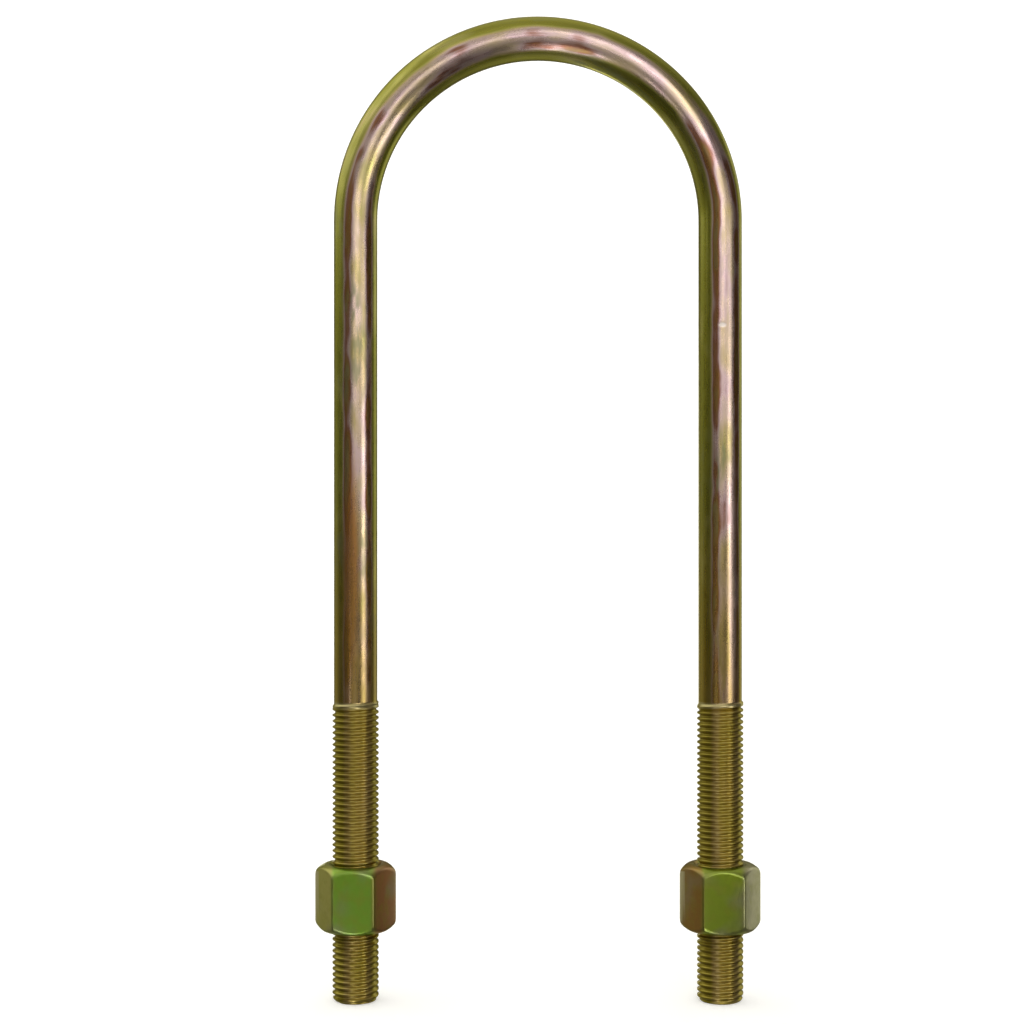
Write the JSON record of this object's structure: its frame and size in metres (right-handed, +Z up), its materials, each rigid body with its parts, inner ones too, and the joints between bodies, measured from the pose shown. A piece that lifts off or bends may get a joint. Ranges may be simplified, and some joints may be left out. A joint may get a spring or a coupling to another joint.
{
  "type": "u-bolt with nuts",
  "caption": "Round-bend U-bolt with long threaded legs and tall hexagon nuts, in yellow-passivated steel, for clamping a pipe or bolting an eye through a deck.",
  "frame": {"origin": "midway between the two leg axes, on the plane of the nuts' bearing faces, which is the underside of whatever is clamped", "axes": "+Z up along the legs towards the bend, X across from the left leg to the right leg, Y through the thickness of the bolt"},
  "size_m": [0.1518, 0.024, 0.3343],
  "materials": {
    "zinc_rod": "yellow zinc passivation over drawn steel, olive and gold with faint iridescent bands",
    "zinc_nut": "yellow zinc passivation over forged steel, green to bronze"
  },
  "bodies": {
    "u_bolt": {"u_bolt": "zinc_rod"},
    "left_nut": {"left_nut": "zinc_nut"},
    "right_nut": {"right_nut": "zinc_nut"}
  },
  "joints": [
    {"name": "left_nut_travel", "type": "slide", "parent": "u_bolt", "child": "left_nut", "axis": [0, 0, 1], "range_m": [-0.024, 0.052]},
    {"name": "right_nut_travel", "type": "slide", "parent": "u_bolt", "child": "right_nut", "axis": [0, 0, 1], "range_m": [-0.024, 0.052]}
  ]
}
